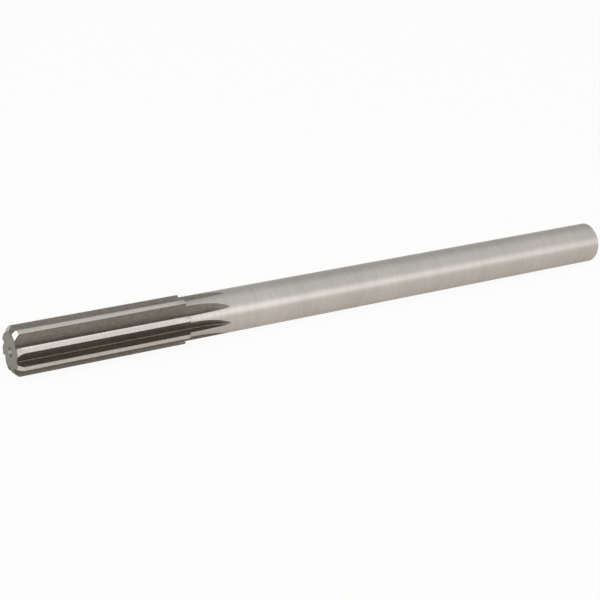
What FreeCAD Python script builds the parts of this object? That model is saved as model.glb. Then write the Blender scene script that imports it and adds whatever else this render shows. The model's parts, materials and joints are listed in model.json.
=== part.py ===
"""Machine (chucking) reamer, 5/8 in, ground from one bar of high-speed steel.

Eight straight flutes, right-hand cut, on a plain straight shank.  The tool lies on two
neighbouring teeth, with its axis along X.

Frame: origin at the centre of the shank's end face, +X along the tool's axis towards the
cutting end, +Z up.  Angles of the cross-section run from +Y towards +Z, which is the way
the tool turns when it cuts, so "behind" a cutting edge means a smaller angle.
"""
import FreeCAD, Part
import math
import os
from FreeCAD import Vector

# ---- driving dimensions, in millimetres and degrees -------------------------------------
INCH = 25.4

CUTTING_DIAMETER = 0.625 * INCH
SHANK_DIAMETER = 0.5605 * INCH
OVERALL_LENGTH = 9.0 * INCH
HEAD_LENGTH = 2.25 * INCH         # from the cutting end to the step down to the shank
TEETH = 8

CHAMFER = 1.2                     # the 45 degree cutting chamfer, measured along the axis
CHAMFER_RELIEF = 12.0             # how far the chamfer falls away behind its edge
MARGIN_WIDTH = 0.40               # the narrow band left at full diameter behind each edge
LAND_WIDTH = 1.75                 # margin and relieved land together
LAND_RELIEF = 7.0
HEAD_BACK_BEVEL = 0.15            # the bevel on the back end of the lands

CORE_DIAMETER = 0.66 * CUTTING_DIAMETER
FLUTE_ROOT_RADIUS = 0.30
FLUTE_BACK_RADIUS = 20.0          # the shallow hollow that the cutter leaves behind a land
FLUTING_CUTTER_RADIUS = 1.75 * INCH
FLUTING_CUTTER_LEAN = 14.0        # the cutter's flank that makes the rake face leans this far
FLUTE_STRAIGHT_LENGTH = 59.0      # from the cutting end to where the cutter starts to lift
RUN_OUT_SWING = 22.0              # enough for the cutter to leave the shank

SHANK_END_CHAMFER = 0.8
SHANK_CENTRE_MOUTH = 4.0          # diameters of the 60 degree centre holes and their pilots
SHANK_CENTRE_PILOT = 1.6
SHANK_CENTRE_DEPTH = 5.0
NOSE_CENTRE_MOUTH = 3.2
NOSE_CENTRE_PILOT = 1.25
NOSE_CENTRE_DEPTH = 3.6
CENTRE_ANGLE = 60.0
PILOT_POINT_ANGLE = 118.0

CLEAR = 1.0                       # how far a cutting tool's body stands off the blank
OVERRUN = 1.5                     # the flute's back arc runs on past the heel by this ratio

# ---- worked out ---------------------------------------------------------------------------
HEAD_R = CUTTING_DIAMETER / 2
SHANK_R = SHANK_DIAMETER / 2
CORE_R = CORE_DIAMETER / 2
STEP_X = OVERALL_LENGTH - HEAD_LENGTH
RUN_OUT_X = OVERALL_LENGTH - FLUTE_STRAIGHT_LENGTH
PITCH = 360.0 / TEETH

X_AXIS = Vector(1, 0, 0)
Z_AXIS = Vector(0, 0, 1)
CENTRE = Vector(0, 0, 0)


def ring_point(radius, angle, x=0.0):
    """The point of the cross-section at this radius and angle."""
    turn = math.radians(angle)
    return Vector(x, radius * math.cos(turn), radius * math.sin(turn))


def radius_of(point):
    """How far a point stands from the tool's axis."""
    return math.hypot(point.y, point.z)


def angle_of(point):
    """The cross-section angle of a point."""
    return math.degrees(math.atan2(point.z, point.y))


def margin_end():
    """Where the margin of the tooth at angle 0 ends and the relieved land begins."""
    return ring_point(HEAD_R, -math.degrees(MARGIN_WIDTH / HEAD_R))


def land_heel():
    """The far corner of the relieved land of the tooth at angle 0."""
    start = margin_end()
    back = ring_point(1.0, angle_of(start) - 90.0 - LAND_RELIEF)
    return start + back * (LAND_WIDTH - MARGIN_WIDTH)


def rest_angle():
    """The angle of a cutting edge when the tool lies on two teeth.

    It rests on one tooth's heel and on the next tooth's cutting edge, one on each side of
    straight down, and both at the same height.
    """
    heel = land_heel()
    gap = math.radians(PITCH + angle_of(heel))
    ratio = HEAD_R / radius_of(heel)
    edge_from_bottom = math.atan2(ratio - math.cos(gap), math.sin(gap))
    return -90.0 - math.degrees(edge_from_bottom)


def around(shape):
    """Copies of a shape made for the tooth at angle 0, one for each tooth."""
    copies = []
    for tooth in range(TEETH):
        turned = shape.copy()
        turned.rotate(CENTRE, X_AXIS, rest_angle() + tooth * PITCH)
        copies.append(turned)
    return copies


def centre_hole(face_x, inward, mouth, pilot, depth):
    """Outline points of a centre hole, from its bottom on the axis to its mouth."""
    cone = (mouth - pilot) / 2 / math.tan(math.radians(CENTRE_ANGLE / 2))
    point = pilot / 2 / math.tan(math.radians(PILOT_POINT_ANGLE / 2))
    return [
        Vector(face_x + inward * (depth + point), 0, 0),
        Vector(face_x + inward * depth, pilot / 2, 0),
        Vector(face_x + inward * cone, pilot / 2, 0),
        Vector(face_x, mouth / 2, 0),
    ]


def turned_blank():
    """The bar as it leaves the lathe and the grinder: shank, step, head, chamfer, centres."""
    shank_centre = centre_hole(0, 1, SHANK_CENTRE_MOUTH, SHANK_CENTRE_PILOT,
                               SHANK_CENTRE_DEPTH)
    nose_centre = centre_hole(OVERALL_LENGTH, -1, NOSE_CENTRE_MOUTH, NOSE_CENTRE_PILOT,
                              NOSE_CENTRE_DEPTH)
    outside = [
        Vector(0, SHANK_R - SHANK_END_CHAMFER, 0),
        Vector(SHANK_END_CHAMFER, SHANK_R, 0),
        Vector(STEP_X, SHANK_R, 0),
        Vector(STEP_X, HEAD_R - HEAD_BACK_BEVEL, 0),
        Vector(STEP_X + HEAD_BACK_BEVEL, HEAD_R, 0),
        Vector(OVERALL_LENGTH - CHAMFER, HEAD_R, 0),
        Vector(OVERALL_LENGTH, HEAD_R - CHAMFER, 0),
    ]
    points = shank_centre + outside + nose_centre[::-1]
    half_section = Part.Face(Part.makePolygon(points + points[:1]))
    return half_section.revolve(CENTRE, X_AXIS, 360)


def flute_outline():
    """The fluting cutter's profile, between one tooth's rake face and the next one's heel.

    The rake face is radial, at angle 0.  A root arc touches it and the core circle, and a
    large hollow arc runs on from the root arc, in line with it, out through the heel.
    Returns the closed outline and the deepest point of the cutter.
    """
    root_r = FLUTE_ROOT_RADIUS
    back_r = FLUTE_BACK_RADIUS
    heel = ring_point(radius_of(land_heel()), PITCH + angle_of(land_heel()))
    root = Vector(0, math.sqrt((CORE_R + root_r) ** 2 - root_r ** 2), root_r)

    # The back arc's centre: back_r from the heel, and back_r - root_r from the root's centre.
    across = root - heel
    gap = across.Length
    along = (back_r ** 2 - (back_r - root_r) ** 2 + gap ** 2) / (2 * gap)
    off = math.sqrt(back_r ** 2 - along ** 2)
    direction = across.normalize()
    hollow = heel + direction * along + X_AXIS.cross(direction) * off

    root_to_back = hollow + (root - hollow).normalize() * back_r
    start_turn = angle_of(root_to_back - hollow)
    sweep = (angle_of(heel - hollow) - start_turn + 180.0) % 360.0 - 180.0
    back_middle = hollow + ring_point(back_r, start_turn + sweep * OVERRUN / 2)
    back_end = hollow + ring_point(back_r, start_turn + sweep * OVERRUN)

    # Seen from the root arc's centre, the foot of the rake face is straight down, at 270.
    rake_end = Vector(0, HEAD_R + CLEAR, 0)
    rake_foot = Vector(0, root.y, 0)
    root_middle = root + ring_point(root_r, (angle_of(root_to_back - root) + 270.0) / 2)
    outline = Part.Wire([
        Part.LineSegment(rake_end, rake_foot).toShape(),
        Part.Arc(rake_foot, root_middle, root_to_back).toShape(),
        Part.Arc(root_to_back, back_middle, back_end).toShape(),
        Part.LineSegment(back_end, rake_end).toShape(),
    ])
    deepest = root - ring_point(root_r, FLUTING_CUTTER_LEAN)
    return outline, deepest


def flute():
    """What the fluting cutter takes out: a straight run, then its own arc out of the shank.

    The cutter's axis crosses the tool's axis and stands square to the direction in which the
    cutter plunges, which leans away from the rake face.
    """
    outline, deepest = flute_outline()
    profile = Part.Face(outline)
    profile.translate(X_AXIS * RUN_OUT_X)
    straight = profile.extrude(X_AXIS * (FLUTE_STRAIGHT_LENGTH + CLEAR))
    outward = ring_point(1.0, FLUTING_CUTTER_LEAN)
    cutter_centre = X_AXIS * RUN_OUT_X + deepest + outward * FLUTING_CUTTER_RADIUS
    run_out = profile.revolve(cutter_centre, outward.cross(X_AXIS), RUN_OUT_SWING)
    return straight.fuse(run_out)


def land_clearance():
    """The sliver ground off the land behind the margin, along the whole head."""
    start = margin_end()
    heel = land_heel()
    beyond = heel + (heel - start).normalize() * CLEAR
    lift = ring_point(CLEAR, angle_of(heel))
    corners = [start, beyond, beyond + lift, start + lift]
    sliver = Part.Face(Part.makePolygon(corners + corners[:1]))
    sliver.translate(X_AXIS * STEP_X)
    return sliver.extrude(X_AXIS * (HEAD_LENGTH + CLEAR))


def chamfer_clearance():
    """What is ground off the chamfer of one tooth: a flat facet that falls away behind.

    The facet holds the tooth's 45 degree cutting edge and leans back from it.
    """
    corner = Vector(OVERALL_LENGTH - CHAMFER / 2, HEAD_R - CHAMFER / 2, 0)
    edge = Vector(-1, 1, 0).normalize()
    square = Vector(1, 1, 0).normalize()
    relief = math.radians(CHAMFER_RELIEF)
    outward = square * math.cos(relief) - Z_AXIS * math.sin(relief)
    behind = square * -math.sin(relief) - Z_AXIS * math.cos(relief)
    reach = edge * (CHAMFER + CLEAR)
    tooth_back = behind * (LAND_WIDTH + 2 * CLEAR)
    ahead = behind * -CLEAR
    corners = [corner + reach + ahead, corner + reach + tooth_back,
               corner - reach + tooth_back, corner - reach + ahead]
    facet = Part.Face(Part.makePolygon(corners + corners[:1]))
    return facet.extrude(outward * (CHAMFER + CLEAR))


def reamer():
    """The finished tool."""
    cuts = around(flute()) + around(land_clearance()) + around(chamfer_clearance())
    return turned_blank().cut(cuts)


os.makedirs("parts", exist_ok=True)
tool = reamer()
tool.exportStep("parts/reamer.step")
print("solids", len(tool.Solids), "valid", tool.isValid(), "volume mm3", round(tool.Volume, 1))
print("faces", len(tool.Faces), "edge angle at rest", round(rest_angle(), 3))
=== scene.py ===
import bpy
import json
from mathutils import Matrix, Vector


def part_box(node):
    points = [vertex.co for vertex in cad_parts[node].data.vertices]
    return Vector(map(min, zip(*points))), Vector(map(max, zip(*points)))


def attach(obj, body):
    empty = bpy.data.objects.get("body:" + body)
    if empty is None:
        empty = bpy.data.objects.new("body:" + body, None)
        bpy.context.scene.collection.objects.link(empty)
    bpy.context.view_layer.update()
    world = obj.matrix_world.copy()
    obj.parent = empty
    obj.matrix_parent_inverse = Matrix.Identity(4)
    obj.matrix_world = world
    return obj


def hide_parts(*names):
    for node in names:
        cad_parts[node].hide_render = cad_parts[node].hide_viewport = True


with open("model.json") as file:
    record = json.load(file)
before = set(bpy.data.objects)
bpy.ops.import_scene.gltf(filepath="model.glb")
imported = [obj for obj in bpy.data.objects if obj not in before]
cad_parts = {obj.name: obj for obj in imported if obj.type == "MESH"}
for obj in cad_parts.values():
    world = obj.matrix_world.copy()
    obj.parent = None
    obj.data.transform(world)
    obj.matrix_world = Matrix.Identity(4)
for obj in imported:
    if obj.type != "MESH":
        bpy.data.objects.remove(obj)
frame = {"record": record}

"""Looks of a machine reamer.

The tool is one piece of ground high-speed steel, so its skin is one closed mesh, worked out
from the same few sizes as the frame: a turned and ground bar with eight milled flutes.
Lengths are in metres and angles in radians.  The frame has its origin at the centre of the
shank's end face, +X towards the cutting end and +Z up.  Angles of the cross-section run from
+Y towards +Z, the way the tool turns when it cuts.
"""

import json
import math

import bpy
import numpy as np
from bpy.props import (FloatProperty, FloatVectorProperty, IntProperty, PointerProperty)
from mathutils import Matrix, Vector

bl_info = {
    "name": "Machine Reamer",
    "version": (1, 0, 0),
    "blender": (4, 5, 0),
    "location": "View3D > Sidebar > Reamer",
    "description": "Builds a ground machine reamer and the studio it lies in",
    "category": "Add Mesh",
}

MM = 0.001
INCH = 0.0254
NODE = "reamer"

WELD_GRAIN = 2e-7                       # points closer than this are one point
CONE_HALF_ANGLE = math.radians(30)      # a 60 degree centre hole
POINT_HALF_ANGLE = math.radians(59)     # the pilot drill's point

# ---- read from the frame ------------------------------------------------------------------
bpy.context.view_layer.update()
SHANK_MOUNT = next(m for m in frame["record"]["mounts"] if m["name"] == "shank")
SHANK_RADIUS = SHANK_MOUNT["dims"]["r_mm"] * MM
OVERALL_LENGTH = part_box(NODE)[1].x
FLOOR_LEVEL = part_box(NODE)[0].z


def srgb(code):
    """Turns an sRGB hex value such as #c8c4be into the linear colour that shaders take."""
    channels = [int(code[i:i + 2], 16) / 255 for i in (1, 3, 5)]
    return tuple(c / 12.92 if c <= 0.04045 else ((c + 0.055) / 1.055) ** 2.4 for c in channels)


# ---- settings -----------------------------------------------------------------------------

def length(name, description, default):
    return FloatProperty(name=name, description=description, default=default,
                         min=0.0, unit="LENGTH", precision=5)


def angle(name, description, degrees):
    return FloatProperty(name=name, description=description, default=math.radians(degrees),
                         unit="ROTATION", subtype="ANGLE")


def colour(name, description, code):
    return FloatVectorProperty(name=name, description=description, default=srgb(code),
                               size=3, min=0.0, max=1.0, subtype="COLOR")


def share(name, description, default):
    return FloatProperty(name=name, description=description, default=default,
                         min=0.0, max=1.0, subtype="FACTOR")


class ReamerSizes(bpy.types.PropertyGroup):
    teeth: IntProperty(name="Teeth", description="How many flutes and teeth", default=8, min=3)
    overall: length("Overall length", "From end to end", OVERALL_LENGTH)
    shank: length("Shank radius", "Radius of the plain shank", SHANK_RADIUS)
    head: length("Head radius", "Radius at the cutting edges", 0.3125 * INCH)
    head_length: length("Head length", "From the cutting end to the step", 2.25 * INCH)
    chamfer: length("Chamfer", "The cutting chamfer, along the axis", 1.2 * MM)
    chamfer_relief: angle("Chamfer relief", "Fall of the chamfer behind its edge", 12.0)
    margin: length("Margin", "Band left at full diameter behind each edge", 0.4 * MM)
    land: length("Land", "Margin and relieved land together", 1.75 * MM)
    land_relief: angle("Land relief", "Fall of the land behind the margin", 7.0)
    back_bevel: length("Back bevel", "Bevel on the back end of the lands", 0.15 * MM)
    core_share: share("Core", "Core diameter as a share of the head's", 0.66)
    root: length("Flute root", "Radius at the bottom of a flute", 0.30 * MM)
    hollow: length("Flute back", "Radius of the hollow behind a land", 20.0 * MM)
    cutter: length("Fluting cutter", "Radius of the cutter that mills the flutes", 1.75 * INCH)
    cutter_lean: angle("Cutter lean", "Lean of the cutter's flank on the rake face", 14.0)
    straight: length("Straight flute", "From the cutting end to where the cutter lifts",
                     59.0 * MM)
    end_chamfer: length("Shank chamfer", "Chamfer on the shank's end", 0.8 * MM)
    shank_mouth: length("Shank centre mouth", "Radius of the centre hole's mouth", 2.0 * MM)
    shank_pilot: length("Shank centre pilot", "Radius of its pilot hole", 0.8 * MM)
    shank_depth: length("Shank centre depth", "Depth of its pilot hole", 5.0 * MM)
    nose_mouth: length("Nose centre mouth", "Radius of the centre hole's mouth", 1.6 * MM)
    nose_pilot: length("Nose centre pilot", "Radius of its pilot hole", 0.625 * MM)
    nose_depth: length("Nose centre depth", "Depth of its pilot hole", 3.6 * MM)


class ReamerFinish(bpy.types.PropertyGroup):
    # Real grinding and milling marks are some hundredths of a millimetre apart.  They are drawn
    # as coarse as they need to be to show.
    shank: colour("Ground shank", "Cylindrically ground steel", "#cdc8c3")
    land: colour("Ground land", "Lands and chamfers", "#d5d1cb")
    flute: colour("Milled flute", "Flutes milled, hardened and left dark", "#857f77")
    # The cut ends' colour is dull steel made darker as well: painted shade that the nose's face
    # mirrors from the floor behind it.
    nose: colour("Cut end", "Faces cut square", "#8d8e87")
    grind_pitch: length("Grinding marks", "Spacing of the marks around the shank", 0.5 * MM)
    flute_pitch: length("Flute marks", "Spacing of the marks along the flutes", 0.25 * MM)


class ReamerStudio(bpy.types.PropertyGroup):
    floor: colour("Floor", "Plain pale floor", "#f3ece4")
    lens: FloatProperty(name="Lens", description="Focal length on a 36 mm wide film",
                        default=88.32, min=1.0, unit="CAMERA", subtype="DISTANCE_CAMERA")
    camera_place: FloatVectorProperty(
        name="Camera", description="Where the camera stands", size=3, unit="LENGTH",
        subtype="TRANSLATION", default=(0.37050, 0.38858, 0.17781))
    camera_aim: FloatVectorProperty(
        name="Aim", description="The point it looks at", size=3, unit="LENGTH",
        subtype="TRANSLATION", default=(0.12692, 0.00046, -0.00101))
    camera_roll: angle("Roll", "How far the camera leans over", 1.974)


# ---- the cross-section ----------------------------------------------------------------------

def polar(radius, turn):
    """Points (y, z) at a radius and an angle, measured from +Y towards +Z."""
    radius, turn = np.broadcast_arrays(radius, turn)
    return np.stack([radius * np.cos(turn), radius * np.sin(turn)], -1)


def radius_of(points):
    return np.hypot(points[..., 0], points[..., 1])


def turn_of(points):
    return np.arctan2(points[..., 1], points[..., 0])


def nearest_turn(turn, near):
    """The same direction, told as the turn that is nearest to another one."""
    return near + (turn - near + math.pi) % (2 * math.pi) - math.pi


def rotated(points, turn):
    """Points (y, z) turned about the tool's axis."""
    return polar(radius_of(points), turn_of(points) + turn)


def blend(start, end, count, power=1.0):
    """count + 1 places from start to end, evenly spaced, or crowded to the start by a power."""
    part = np.linspace(0.0, 1.0, count + 1) ** power
    start, end = np.asarray(start, float), np.asarray(end, float)
    return start + part.reshape(-1, *[1] * start.ndim) * (end - start)


def where_arc_meets(centre, radius, normal, distance, near):
    """The turns at which an arc's point has this distance along a normal; returns the nearest.

    A point of the arc is centre + radius (cos a, sin a), so its distance along the normal is
    centre . normal + radius |normal| cos(a - turn of normal).
    """
    size = np.hypot(*normal)
    swing = math.acos((distance - centre @ normal) / (radius * size))
    turns = np.array([turn_of(normal) + swing, turn_of(normal) - swing])
    return turns[np.argmin(np.abs(nearest_turn(turns, near) - near))]


class Section:
    """One sector of the head's cross-section, from the rake face at angle 0 to the next one.

    It holds the outline's columns in order: down the rake face, round the flute's root, up
    its hollow back, over the relieved land and along the margin to the next cutting edge.
    """

    RAKE_HIGH, RAKE_MID, RAKE_LOW = 4, 6, 8
    ROOT_HALF = 7
    BACK_LOW, BACK_MID, BACK_HIGH = 7, 7, 5
    LAND, MARGIN = 5, 3

    def __init__(self, s):
        self.pitch = 2 * math.pi / s.teeth
        self.core = s.core_share * s.head
        self.slope = math.sqrt(2) * math.tan(s.chamfer_relief)
        margin_end = polar(s.head, -s.margin / s.head)
        heel = margin_end + polar(s.land - s.margin,
                                  turn_of(margin_end) - math.pi / 2 - s.land_relief)
        self.rest_turn = self.at_rest(s, heel)
        self.heel = rotated(heel, self.pitch)
        self.margin_end = rotated(margin_end, self.pitch)
        self.root_centre = np.array([math.sqrt((self.core + s.root) ** 2 - s.root ** 2), s.root])
        self.hollow_centre = self.centre_of_back(s)
        self.deepest_turn = s.cutter_lean + math.pi
        self.deepest = self.root_centre + polar(s.root, self.deepest_turn)
        self.lay_out(s)

    def at_rest(self, s, heel):
        """The turn of a cutting edge when the tool lies on one heel and the next edge."""
        gap = self.pitch + turn_of(heel)
        ratio = s.head / radius_of(heel)
        return -math.pi / 2 - math.atan2(ratio - math.cos(gap), math.sin(gap))

    def centre_of_back(self, s):
        """Centre of the large arc that passes the heel and runs on into the root arc."""
        across = self.root_centre - self.heel
        gap = np.hypot(*across)
        ahead = across / gap
        outward = np.array([-ahead[1], ahead[0]])
        along = (s.hollow ** 2 - (s.hollow - s.root) ** 2 + gap ** 2) / (2 * gap)
        off = math.sqrt(s.hollow ** 2 - along ** 2)
        return self.heel + ahead * along + outward * off

    def facet_normal(self):
        """Normal of the line in which the next tooth's chamfer facet cuts the front face."""
        return rotated(np.array([1.0, -self.slope]), self.pitch)

    def lay_out(self, s):
        nose = s.head - s.chamfer
        join = turn_of(self.root_centre - self.hollow_centre)
        heel = turn_of(self.heel - self.hollow_centre)
        facet = where_arc_meets(self.hollow_centre, s.hollow, self.facet_normal(), nose, join)
        shank = self.back_at_radius(s, s.shank, join)
        heel, facet, shank = (nearest_turn(turn, join) for turn in (heel, facet, shank))

        def flat(radii):
            return np.stack([radii, np.zeros_like(radii)], -1)

        def back(turns):
            return self.hollow_centre + polar(s.hollow, turns)

        def root(turns):
            return self.root_centre + polar(s.root, turns)

        foot_turn = 1.5 * math.pi
        back_turn = join % (2 * math.pi)
        runs = [
            ("rake_high", flat(blend(s.head, s.shank, self.RAKE_HIGH))),
            ("rake_mid", flat(blend(s.shank, nose, self.RAKE_MID, 2.0))),
            ("rake_low", flat(blend(nose, self.root_centre[0], self.RAKE_LOW))),
            ("root_rake", root(blend(foot_turn, self.deepest_turn, self.ROOT_HALF))),
            ("root_back", root(blend(self.deepest_turn, back_turn, self.ROOT_HALF))),
            ("back_low", back(blend(join, facet, self.BACK_LOW))),
            ("back_mid", back(blend(shank, facet, self.BACK_MID, 2.0)[::-1])),
            ("back_high", back(blend(shank, heel, self.BACK_HIGH))),
            ("land", blend(self.heel, self.margin_end, self.LAND)),
            ("margin", polar(s.head, blend(turn_of(self.margin_end), self.pitch, self.MARGIN))),
        ]
        self.first = {}
        columns = [runs[0][1][:1]]
        at = 0
        for name, points in runs:
            self.first[name] = at
            columns.append(points[1:])
            at += len(points) - 1
        self.last = at
        self.columns = np.concatenate(columns)

    def back_at_radius(self, s, radius, near):
        """The turn on the back arc where it stands this far from the tool's axis."""
        centre = self.hollow_centre
        reach = (radius ** 2 - centre @ centre - s.hollow ** 2) / (2 * s.hollow)
        return where_arc_meets(np.zeros(2), 1.0, centre, reach, near)

    def chamfer_x(self, s):
        """How far towards the nose each column runs before a chamfer facet cuts it off.

        The columns on the rake face belong to the tooth at angle 0, the others to the next.
        """
        own = self.columns
        beyond = rotated(self.columns, -self.pitch)
        rake = np.arange(self.last + 1) <= self.first["root_rake"]
        height = np.where(rake, own[:, 0], beyond[:, 0])
        depth = np.where(rake, own[:, 1], beyond[:, 1])
        x = s.overall - s.chamfer + s.head - height + self.slope * depth
        return np.minimum(x, s.overall)

    def shank_columns(self):
        """The columns that lie below the shank's surface, which the cutter carries on past."""
        return slice(self.first["rake_mid"], self.first["back_high"] + 1)


# ---- patches of the surface -------------------------------------------------------------------

def solid(x, points):
    """Joins x and (y, z) into (x, y, z)."""
    x = np.broadcast_to(x, points.shape[:-1])
    return np.concatenate([x[..., None], points], -1)


class Skin:
    """Gathers patches, each a grid of points, and welds them into one closed mesh.

    A patch is an array (columns, rows, 3).  Its faces point along rows x columns.
    """

    def __init__(self, s, section):
        self.teeth, self.section = s.teeth, section
        self.grids = []

    def add_around(self, grid, finish, facet):
        """Adds one copy of the patch for each tooth.

        finish is the patch's material, and faces of different facets meet in a crisp edge.
        """
        for tooth in range(self.teeth):
            turn = self.section.rest_turn + tooth * self.section.pitch
            self.grids.append((solid(grid[..., 0], rotated(grid[..., 1:], turn)), finish, facet))

    def weld(self, name):
        """Puts the patches into a mesh, with equal points made one and empty faces left out."""
        points, quads, finishes, facets = [], [], [], []
        numbers = {facet: number for number, (_, _, facet) in enumerate(self.grids)}
        base = 0
        for grid, finish, facet in self.grids:
            columns, rows = grid.shape[:2]
            index = base + np.arange(columns * rows).reshape(columns, rows)
            faces = np.stack([index[:-1, :-1], index[:-1, 1:], index[1:, 1:], index[1:, :-1]],
                             -1).reshape(-1, 4)
            points.append(grid.reshape(-1, 3))
            quads.append(faces)
            finishes.append(np.full(len(faces), finish))
            facets.append(np.full(len(faces), numbers[facet]))
            base += columns * rows
        points, quads = np.concatenate(points), np.concatenate(quads)
        finishes, facets = np.concatenate(finishes), np.concatenate(facets)
        _, kept, same = np.unique(np.round(points / WELD_GRAIN).astype(np.int64), axis=0,
                                  return_index=True, return_inverse=True)
        quads = same.reshape(-1)[quads]
        step = quads != np.roll(quads, 1, axis=1)
        corners = step.sum(1)
        whole = (corners >= 3) & (quads[:, 0] != quads[:, 2]) & (quads[:, 1] != quads[:, 3])
        faces = [q[k].tolist() for q, k in zip(quads[whole], step[whole])]
        mesh = bpy.data.meshes.new(name)
        mesh.from_pydata(points[kept].tolist(), [], faces)
        mesh.polygons.foreach_set("material_index", finishes[whole].astype(np.int32))
        mesh.polygons.foreach_set("use_smooth", np.ones(len(faces), bool))
        crease(mesh, facets[whole])
        mesh.validate()
        mesh.update()
        return mesh


def crease(mesh, facets):
    """Marks an edge sharp where faces of two facets meet."""
    owner = np.repeat(np.arange(len(mesh.polygons)), loop_totals(mesh))
    edge = np.zeros(len(mesh.loops), np.int32)
    mesh.loops.foreach_get("edge_index", edge)
    low = np.full(len(mesh.edges), np.iinfo(np.int64).max)
    high = np.full(len(mesh.edges), np.iinfo(np.int64).min)
    np.minimum.at(low, edge, facets[owner])
    np.maximum.at(high, edge, facets[owner])
    sharp = mesh.attributes.new("sharp_edge", "BOOLEAN", "EDGE")
    sharp.data.foreach_set("value", low != high)


def loop_totals(mesh):
    totals = np.zeros(len(mesh.polygons), np.int32)
    mesh.polygons.foreach_get("loop_total", totals)
    return totals


# The skin's materials, in the order of their slots.
SHANK, LAND, FLUTE, NOSE = range(4)

# How many rows of points these patches have along the tool.
FLANK_ROWS = 12
RUN_OUT_ROWS = 16
SHANK_ROWS = 24
# How far in from the front face's outline its rings of points lie, as shares of the way.
FACE_RINGS = (0.0, 0.15, 0.4, 0.7, 1.0)
# How far the points of the nose's centre hole lag behind the outline's.
MOUTH_LAG = math.radians(12)


def flanks(s, section, skin):
    """The head's sides: every column runs straight from its chamfer back to the step.

    Point (column, row) = (x, y, z) with y, z fixed by the column, and x sliding from the
    column's own front end to the bevel at the step.  The last row is drawn in to the bevel.
    The margin is ground round, as the shank is, and the land behind it along the tool.
    """
    step = s.overall - s.head_length
    front = section.chamfer_x(s)
    part = np.linspace(0.0, 1.0, FLANK_ROWS)
    x = front[:, None] + part * (step + s.back_bevel - front)[:, None]
    grid = solid(x, np.repeat(section.columns[:, None], FLANK_ROWS, axis=1))
    radius = np.minimum(radius_of(section.columns), s.head - s.back_bevel)
    last = solid(np.full(len(radius), step), polar(radius, turn_of(section.columns)))
    grid = np.concatenate([grid, last[:, None]], axis=1)
    land, margin = section.first["land"], section.first["margin"]
    skin.add_around(grid[:land + 1], FLUTE, "flute")
    skin.add_around(grid[land:margin + 1], LAND, "land")
    skin.add_around(grid[margin:], SHANK, "margin")


def facet_grid(s, section):
    """The chamfer facet of the next tooth, between the columns' ends and the front face.

    Each column's end is joined to the front face by a line along the cutting edge, which
    keeps its depth behind the edge and lies in the facet's plane.
    """
    use = slice(section.first["back_mid"], section.last + 1)
    own = rotated(section.columns[use], -section.pitch)
    back = solid(section.chamfer_x(s)[use], own)
    line = np.stack([s.head - s.chamfer + section.slope * own[:, 1], own[:, 1]], -1)
    front = solid(s.overall, line)
    edge = section.columns[:section.first["rake_low"] + 1, 0]
    part = (s.head - edge) / s.chamfer
    grid = back[:, None] + part[:, None] * (front - back)[:, None]
    return solid(grid[..., 0], rotated(grid[..., 1:], section.pitch))


def front_face(s, section, skin, facet):
    """The flat front, from its outline in to the centre hole's mouth.

    Each outline point is joined to a point of the mouth; the mouth's points lag behind, so
    that the joining lines stay inside the tooth.
    """
    low = section.columns[section.first["rake_low"]:section.first["back_mid"] + 1]
    outline = np.concatenate([low, facet[1:, -1, 1:]])
    turns = blend(-MOUTH_LAG, section.pitch - MOUTH_LAG, len(outline) - 1)
    mouth = polar(s.nose_mouth, turns)
    part = np.array(FACE_RINGS)
    flat = outline[:, None] + part[:, None] * (mouth - outline)[:, None]
    skin.add_around(solid(s.overall, flat)[:, ::-1], NOSE, "front face")
    return turns


def centre_hole(x, inward, mouth, pilot, depth, turns):
    """A 60 degree centre hole: a cone, a pilot hole and its 118 degree point.

    The profile is turned about the axis: point = (x, r cos turn, r sin turn).
    """
    cone = (mouth - pilot) / math.tan(CONE_HALF_ANGLE)
    point = pilot / math.tan(POINT_HALF_ANGLE)
    profile = [(0.0, mouth), (cone, pilot), (depth, pilot), (depth + point, 0.0)]
    grids = []
    for (x0, r0), (x1, r1) in zip(profile[:-1], profile[1:]):
        along = blend(x0, x1, 3)
        radii = blend(r0, r1, 3)
        grid = solid(x + inward * along, polar(radii[None], turns[:, None]))
        grids.append(grid if inward > 0 else grid[:, ::-1])
    return grids


def step_face(s, section, skin):
    """The back face of a tooth, between the head's outline and the shank's circle.

    No wheel reaches it, so it stays as dark as the flutes.
    """
    step = s.overall - s.head_length
    high = section.first["back_high"]
    rake = rotated(section.columns[:section.first["rake_mid"] + 1], section.pitch)
    path = np.concatenate([section.columns[high:], rake[1:]])
    path = polar(np.minimum(radius_of(path), s.head - s.back_bevel), turn_of(path))
    circle = polar(s.shank, blend(turn_of(path[0]), section.pitch, len(path) - 1))
    part = np.array([0.0, 0.5, 1.0])
    grid = path[:, None] + part[:, None] * (circle - path)[:, None]
    skin.add_around(solid(step, grid), FLUTE, "step")
    return len(path) - 1


def lifted(s, section, swing):
    """The flute's columns as the fluting cutter swings out of the work.

    A point stands h above the cutter's lowest point and t beside it.  At a swing a it moves
    (R - h) sin a along the tool, and rises to R - (R - h) cos a, R being the cutter's radius.
    """
    outward = polar(1.0, s.cutter_lean)
    beside = polar(1.0, s.cutter_lean + math.pi / 2)
    local = section.columns[section.shank_columns()] - section.deepest
    reach = s.cutter - local @ outward
    aside = local @ beside
    x = s.overall - s.straight - reach * np.sin(swing)
    rise = s.cutter - reach * np.cos(swing)
    place = section.deepest + rise[..., None] * outward + aside[:, None] * beside
    return solid(x, place)


def exit_swing(s, section):
    """The swing at which each of the flute's columns comes out of the shank's surface.

    The column's point is on the shank's circle when its rise w along the outward direction
    satisfies (c + w)^2 + (d + t)^2 = r^2, c and d being the lowest point's own coordinates.
    """
    outward = polar(1.0, s.cutter_lean)
    beside = polar(1.0, s.cutter_lean + math.pi / 2)
    local = section.columns[section.shank_columns()] - section.deepest
    across = section.deepest @ beside + local @ beside
    rise = np.sqrt(s.shank ** 2 - across ** 2) - section.deepest @ outward
    cosine = (s.cutter - rise) / (s.cutter - local @ outward)
    return np.arccos(np.clip(cosine, -1.0, 1.0))


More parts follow.
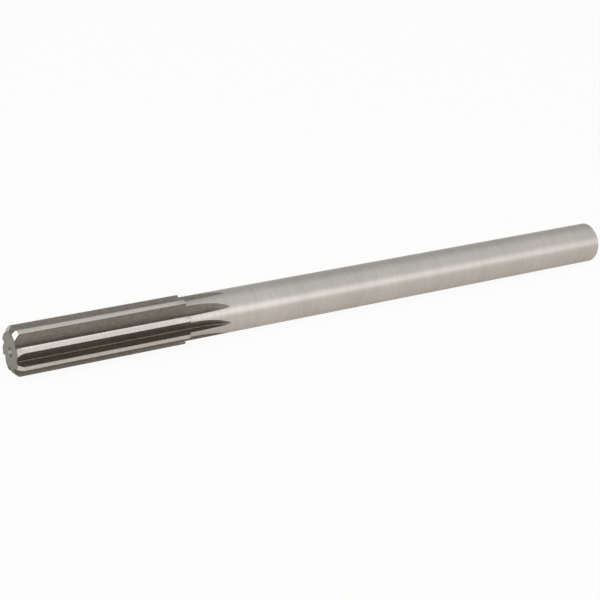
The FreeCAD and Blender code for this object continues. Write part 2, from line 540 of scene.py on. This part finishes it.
def run_out(s, section, skin):
    """The flute beyond the step: a short straight run, then the cutter's own arc."""
    step = s.overall - s.head_length
    inside = section.columns[section.shank_columns()]
    x = blend(step, s.overall - s.straight, 2)
    straight = solid(x[None], np.repeat(inside[:, None], len(x), axis=1))
    skin.add_around(straight, FLUTE, "flute")
    leave = exit_swing(s, section)
    swings = np.linspace(0.0, 1.0, RUN_OUT_ROWS)[:, None] * leave
    arc = np.stack([lifted(s, section, swing) for swing in swings], axis=1)
    skin.add_around(arc, FLUTE, "flute")
    return arc[:, -1]


def neck(s, section, skin, leaf, across):
    """The shank's surface between two leaves, from the step to the leaves' tips.

    Each row runs from a point on one leaf's edge to its partner on the next leaf's edge,
    with x and the angle both in proportion, so that it stays on the cylinder.
    """
    step = s.overall - s.head_length
    half = section.first["root_back"] - section.first["rake_mid"]
    rake_side = leaf[:half + 1]
    back_side = leaf[half:][::-1]
    left_x = np.concatenate([blend(step, back_side[0, 0], 2)[:-1], back_side[:, 0]])
    right_x = np.concatenate([blend(step, rake_side[0, 0], 2)[:-1], rake_side[:, 0]])
    left_turn = turn_of(back_side[:, 1:])
    right_turn = turn_of(rake_side[:, 1:]) + section.pitch
    left_turn = np.concatenate([left_turn[:1], left_turn[:1], left_turn])
    right_turn = np.concatenate([right_turn[:1], right_turn[:1], right_turn])
    part = np.linspace(0.0, 1.0, across + 1)[:, None]
    x = left_x + part * (right_x - left_x)
    turn = left_turn + part * (right_turn - left_turn)
    skin.add_around(solid(x, polar(s.shank, turn)), SHANK, "shank")
    return x[:, -1], turn[:, -1]


def shank(s, skin, x, turns):
    """The plain shank, its end chamfer, its end face and the centre hole in it.

    Its rows crowd towards the leaves' tips, where the neck's faces are smallest.
    """
    part = blend(0.0, 1.0, SHANK_ROWS - 1, 2.0)
    along = x[:, None] + part * (s.end_chamfer - x)[:, None]
    ring = polar(s.shank, np.repeat(turns[:, None], SHANK_ROWS, axis=1))
    skin.add_around(solid(along, ring), SHANK, "shank")
    rim, lip, mouth = (s.end_chamfer, s.shank), (0.0, s.shank - s.end_chamfer), (0.0, s.shank_mouth)
    for (x0, r0), (x1, r1), finish, facet in ((rim, lip, SHANK, "end chamfer"),
                                              (lip, mouth, NOSE, "end face")):
        radii = blend(r0, r1, 4)
        skin.add_around(solid(blend(x0, x1, 4), polar(radii[None], turns[:, None])), finish, facet)
    holes = centre_hole(0.0, 1.0, s.shank_mouth, s.shank_pilot, s.shank_depth, turns)
    for number, grid in enumerate(holes):
        skin.add_around(grid, NOSE, f"shank centre {number}")


def reamer_mesh(s):
    """The whole tool as one closed skin.

    The nose's centre hole is older than the ground face around it, and dark like the flutes.
    """
    section = Section(s)
    skin = Skin(s, section)
    flanks(s, section, skin)
    facet = facet_grid(s, section)
    skin.add_around(facet[:, ::-1], LAND, "chamfer")
    nose_turns = front_face(s, section, skin, facet)
    holes = centre_hole(s.overall, -1.0, s.nose_mouth, s.nose_pilot, s.nose_depth, nose_turns)
    for number, grid in enumerate(holes):
        skin.add_around(grid, FLUTE, f"nose centre {number}")
    across = step_face(s, section, skin)
    leaf = run_out(s, section, skin)
    tip_x, tip_turns = neck(s, section, skin, leaf, across)
    shank(s, skin, tip_x, tip_turns)
    return skin.weld(NODE + "_skin")


# ---- finishes -------------------------------------------------------------------------------

# The way that a finish's marks run: how far its anisotropy is turned, as a share of a turn.
MARKS_ROUND = 0.0
MARKS_ALONG = 0.25
# The part of a noise's range that its values fill.
NOISE_RANGE = (0.3, 0.7)
NOISE_ROUGHNESS = 0.6


def node(tree, kind, inputs=None, **settings):
    """Adds a node, sets its properties, and gives its inputs values or links."""
    made = tree.nodes.new(kind)
    for name, value in settings.items():
        setattr(made, name, value)
    for name, value in (inputs or {}).items():
        if isinstance(value, bpy.types.NodeSocket):
            tree.links.new(value, made.inputs[name])
        else:
            made.inputs[name].default_value = value
    return made


def new_material(name):
    material = bpy.data.materials.new(name)
    material.use_nodes = True
    material.node_tree.nodes.clear()
    return material, material.node_tree


def streaks(tree, spacing, detail):
    """Noise in the piece's own place, whose marks have this spacing along X, Y and Z.

    Its values keep near a half, so they are spread to run from 0 to 1.
    """
    place = node(tree, "ShaderNodeTexCoord").outputs["Object"]
    scale = tuple(1.0 / gap for gap in spacing)
    stretched = node(tree, "ShaderNodeMapping", {"Vector": place, "Scale": scale})
    noise = node(tree, "ShaderNodeTexNoise",
                 {"Vector": stretched.outputs["Vector"], "Scale": 1.0, "Detail": detail,
                  "Roughness": NOISE_ROUGHNESS})
    low, high = NOISE_RANGE
    spread = node(tree, "ShaderNodeMapRange",
                  {"Value": noise.outputs["Fac"], "From Min": low, "From Max": high})
    return spread.outputs["Result"]


def between(low, high):
    """Settings of a range node that takes 0 and 1 to low and high."""
    return {"To Min": low, "To Max": high}


def worn_steel(tree, base, marks, tone, rough, depth, grain=MARKS_ROUND, spread=0.0):
    """The metal's shader and the output.

    The marks, from 0 to 1, make the colour and the roughness vary between two values each,
    and raise the surface by the depth.  grain is the way that they run, and spread is how
    much wider the shine is across them than along them.
    """
    level = node(tree, "ShaderNodeMapRange", {"Value": marks, **between(*tone)})
    tint = node(tree, "ShaderNodeMix",
                {6: (*base, 1.0), 7: level.outputs["Result"], "Factor": 1.0},
                data_type="RGBA", blend_type="MULTIPLY")
    roughness = node(tree, "ShaderNodeMapRange", {"Value": marks, **between(*rough)})
    bump = node(tree, "ShaderNodeBump", {"Height": marks, "Distance": depth})
    axis = node(tree, "ShaderNodeCombineXYZ", {"X": 1.0})
    shader = node(tree, "ShaderNodeBsdfPrincipled",
                  {"Base Color": tint.outputs[2], "Roughness": roughness.outputs["Result"],
                   "Normal": bump.outputs["Normal"], "Tangent": axis.outputs["Vector"],
                   "Metallic": 1.0, "Anisotropic": spread, "Anisotropic Rotation": grain})
    node(tree, "ShaderNodeOutputMaterial", {"Surface": shader.outputs["BSDF"]})


def averaged(tree, first, second):
    """The mean of two values."""
    total = node(tree, "ShaderNodeMath", {0: first, 1: second}, operation="ADD")
    return node(tree, "ShaderNodeMath", {0: total.outputs[0], 1: 0.5},
                operation="MULTIPLY").outputs[0]


def ground_shank(finish):
    """Cylindrically ground high-speed steel: fine marks run round the bar, so that its shine
    spreads along it, and some bands are a little brighter where the wheel has dwelt."""
    material, tree = new_material("ground_steel_shank")
    fine = streaks(tree, (finish.grind_pitch, 11.1 * MM, 11.1 * MM), 3.0)
    bands = streaks(tree, (16.7 * MM, 83.3 * MM, 83.3 * MM), 2.0)
    worn_steel(tree, finish.shank, averaged(tree, fine, bands), tone=(0.86, 1.10),
               rough=(0.40, 0.46), depth=0.002 * MM, spread=0.8)
    return material


def ground_land(finish):
    """Finish-ground lands and chamfers: clean bright steel with a soft shine and the faint
    marks of the wheel."""
    material, tree = new_material("ground_steel_land")
    across = streaks(tree, (0.667 * MM, 3.33 * MM, 3.33 * MM), 2.0)
    along = streaks(tree, (16.7 * MM, 1.11 * MM, 1.11 * MM), 2.0)
    worn_steel(tree, finish.land, averaged(tree, across, along), tone=(0.90, 1.08),
               rough=(0.30, 0.38), depth=0.002 * MM)
    return material


def milled_flute(finish):
    """Flutes milled along the tool, then hardened and never polished: a dark brownish grey
    skin, whose marks run along the tool and spread its dull shine across the flute."""
    material, tree = new_material("hardened_steel_flute")
    fine = streaks(tree, (25.0 * MM, finish.flute_pitch, finish.flute_pitch), 3.0)
    grit = streaks(tree, (1.43 * MM, 0.833 * MM, 0.833 * MM), 2.0)
    worn_steel(tree, finish.flute, averaged(tree, fine, grit), tone=(0.66, 1.26),
               rough=(0.30, 0.42), depth=0.006 * MM, grain=MARKS_ALONG, spread=0.5)
    return material


def cut_end_and_painted_shade(finish):
    """Faces turned square and left plain: dull grey steel, also darkened to paint the shade that
    the nose's face mirrors from the floor.
    """
    material, tree = new_material("turned_steel_end_and_painted_shade")
    mottle = streaks(tree, (1.11 * MM, 1.11 * MM, 1.11 * MM), 3.0)
    worn_steel(tree, finish.nose, mottle, tone=(0.85, 1.1), rough=(0.4, 0.5), depth=0.01 * MM)
    return material


# ---- studio -----------------------------------------------------------------------------------

# Soft lamps: place, the point they face, width, height and power in watts.  The key lights the
# floor and the head, the strip stands where the shank mirrors it, and the end lamp catches the
# upper chamfer.
LAMPS = {
    "key": ((0.50, 0.66, 0.25), (OVERALL_LENGTH / 2, 0.0, 0.0), 0.75, 0.36, 2.5),
    "strip": ((-0.62, 0.74, 0.30), (-0.62, 0.0, 0.0), 0.8, 0.46, 0.82),
    "end": ((0.79, -0.18, 0.38), (OVERALL_LENGTH, 0.0, 0.0), 0.3, 0.3, 0.5),
}

# The room's light, and its darker panels: the angle at which each hangs, from +Y towards +Z,
# half the angle that it covers, and how much of the light it takes away at its middle.
ROOM_LIGHT = 0.84
DARK_PANELS = ((140.0, 52.0, 0.28), (27.0, 20.0, 0.24))

FILM_WIDTH = 36.0                       # millimetres
FLOOR_HALF = 4.0
# How much of the floor is plain white, to the eye and in the tool's metal.
FLOOR_WHITE_TO_EYE = 0.93
FLOOR_WHITE_IN_METAL = 0.25


def lamp(name, place, aim, width, height, power):
    """A soft rectangular lamp with its width level, pointed at the aim."""
    data = bpy.data.lights.new(name, "AREA")
    data.shape = "RECTANGLE"
    data.size, data.size_y = width, height
    data.energy = power
    made = bpy.data.objects.new(name, data)
    made.location = place
    made.rotation_euler = (Vector(aim) - Vector(place)).to_track_quat("-Z", "Y").to_euler()
    made.visible_camera = False
    bpy.context.scene.collection.objects.link(made)


def studio_world():
    """A white room to the eye; what lights the tool is softer, with two darker panels.

    Each panel runs along the tool: its shade follows the cosine between the direction across
    the tool and the panel's own.  One hangs above and behind, a narrow one stands in front.
    """
    world = bpy.data.worlds.new("studio")
    world.use_nodes = True
    tree = world.node_tree
    tree.nodes.clear()
    way = node(tree, "ShaderNodeTexCoord").outputs["Generated"]
    across = node(tree, "ShaderNodeVectorMath", {0: way, 1: (0.0, 1.0, 1.0)},
                  operation="MULTIPLY")
    unit = node(tree, "ShaderNodeVectorMath", {0: across.outputs["Vector"]},
                operation="NORMALIZE")
    strength = ROOM_LIGHT
    for turn, reach, depth in DARK_PANELS:
        panel = math.radians(turn)
        cosine = node(tree, "ShaderNodeVectorMath",
                      {0: unit.outputs["Vector"], 1: (0.0, math.cos(panel), math.sin(panel))},
                      operation="DOT_PRODUCT")
        shade = node(tree, "ShaderNodeMapRange",
                     {"Value": cosine.outputs["Value"],
                      "From Min": math.cos(math.radians(reach)), "From Max": 1.0,
                      "To Min": 0.0, "To Max": depth}, interpolation_type="SMOOTHSTEP")
        strength = node(tree, "ShaderNodeMath", {0: strength, 1: shade.outputs["Result"]},
                        operation="SUBTRACT").outputs[0]
    room = node(tree, "ShaderNodeBackground", {"Strength": strength})
    white = node(tree, "ShaderNodeBackground", {"Strength": 1.0})
    for background in (room, white):
        background.inputs["Color"].default_value = (1.0, 1.0, 1.0, 1.0)
    camera = node(tree, "ShaderNodeLightPath").outputs["Is Camera Ray"]
    both = node(tree, "ShaderNodeMixShader",
                {0: camera, 1: room.outputs[0], 2: white.outputs[0]})
    node(tree, "ShaderNodeOutputWorld", {"Surface": both.outputs[0]})
    return world


def studio_floor(studio):
    """A plain pale sheet, mostly white to the eye, that keeps the tool's soft shadow.

    The tool's metal shows part of that white as well.
    """
    half = FLOOR_HALF
    corners = [(-half, -half), (half, -half), (half, half), (-half, half)]
    mesh = bpy.data.meshes.new("floor")
    mesh.from_pydata([(x, y, FLOOR_LEVEL) for x, y in corners], [], [(0, 1, 2, 3)])
    material, tree = new_material("pale_floor")
    paper = node(tree, "ShaderNodeBsdfDiffuse", {"Color": (*studio.floor, 1.0)})
    white = node(tree, "ShaderNodeEmission", {"Strength": 1.0})
    ray = node(tree, "ShaderNodeLightPath")
    seen = node(tree, "ShaderNodeMath",
                {0: ray.outputs["Is Camera Ray"], 1: FLOOR_WHITE_TO_EYE}, operation="MULTIPLY")
    shown = node(tree, "ShaderNodeMath",
                 {0: ray.outputs["Is Glossy Ray"], 1: FLOOR_WHITE_IN_METAL,
                  2: seen.outputs[0]},
                 operation="MULTIPLY_ADD")
    both = node(tree, "ShaderNodeMixShader",
                {0: shown.outputs[0], 1: paper.outputs[0], 2: white.outputs[0]})
    node(tree, "ShaderNodeOutputMaterial", {"Surface": both.outputs[0]})
    mesh.materials.append(material)
    floor = bpy.data.objects.new("floor", mesh)
    bpy.context.scene.collection.objects.link(floor)
    return floor


# ---- operators --------------------------------------------------------------------------------

class REAMER_OT_tool(bpy.types.Operator):
    """Make the reamer's ground and milled surface"""
    bl_idname = "reamer.tool"
    bl_label = "Reamer"

    def execute(self, context):
        scene = context.scene
        mesh = reamer_mesh(scene.reamer_sizes)
        for make in (ground_shank, ground_land, milled_flute, cut_end_and_painted_shade):
            mesh.materials.append(make(scene.reamer_finish))
        piece = bpy.data.objects.new("reamer_skin", mesh)
        scene.collection.objects.link(piece)
        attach(piece, "root")
        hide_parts(NODE)
        return {"FINISHED"}


class REAMER_OT_studio(bpy.types.Operator):
    """Make the floor, the room's light, the lamps and the camera"""
    bl_idname = "reamer.studio"
    bl_label = "Studio"

    def execute(self, context):
        scene = context.scene
        studio = scene.reamer_studio
        studio_floor(studio)
        scene.world = studio_world()
        for name, setting in LAMPS.items():
            lamp(name, *setting)
        place, aim = Vector(studio.camera_place), Vector(studio.camera_aim)
        data = bpy.data.cameras.new("camera")
        data.lens = studio.lens
        data.sensor_width = FILM_WIDTH
        camera = bpy.data.objects.new("camera", data)
        look = (aim - place).to_track_quat("-Z", "Y").to_matrix().to_4x4()
        camera.matrix_world = (Matrix.Translation(place) @ look
                               @ Matrix.Rotation(studio.camera_roll, 4, "Z"))
        scene.collection.objects.link(camera)
        scene.camera = camera
        scene.view_settings.view_transform = "Standard"
        return {"FINISHED"}


class REAMER_PT_panel(bpy.types.Panel):
    bl_label = "Machine reamer"
    bl_idname = "REAMER_PT_panel"
    bl_space_type = "VIEW_3D"
    bl_region_type = "UI"
    bl_category = "Reamer"

    def draw(self, context):
        for settings in (context.scene.reamer_sizes, context.scene.reamer_finish,
                         context.scene.reamer_studio):
            box = self.layout.box()
            for name in settings.__annotations__:
                box.prop(settings, name)
        for operator in OPERATORS:
            self.layout.operator(operator.bl_idname)


SETTINGS = {"reamer_sizes": ReamerSizes, "reamer_finish": ReamerFinish,
            "reamer_studio": ReamerStudio}
OPERATORS = (REAMER_OT_tool, REAMER_OT_studio)


def register():
    for kind in (*SETTINGS.values(), *OPERATORS, REAMER_PT_panel):
        bpy.utils.register_class(kind)
    for name, kind in SETTINGS.items():
        setattr(bpy.types.Scene, name, PointerProperty(type=kind))


def unregister():
    for name in SETTINGS:
        delattr(bpy.types.Scene, name)
    for kind in (REAMER_PT_panel, *OPERATORS, *SETTINGS.values()):
        bpy.utils.unregister_class(kind)


def main():
    register()
    bpy.ops.reamer.tool()
    bpy.ops.reamer.studio()


if __name__ == "__main__":
    main()
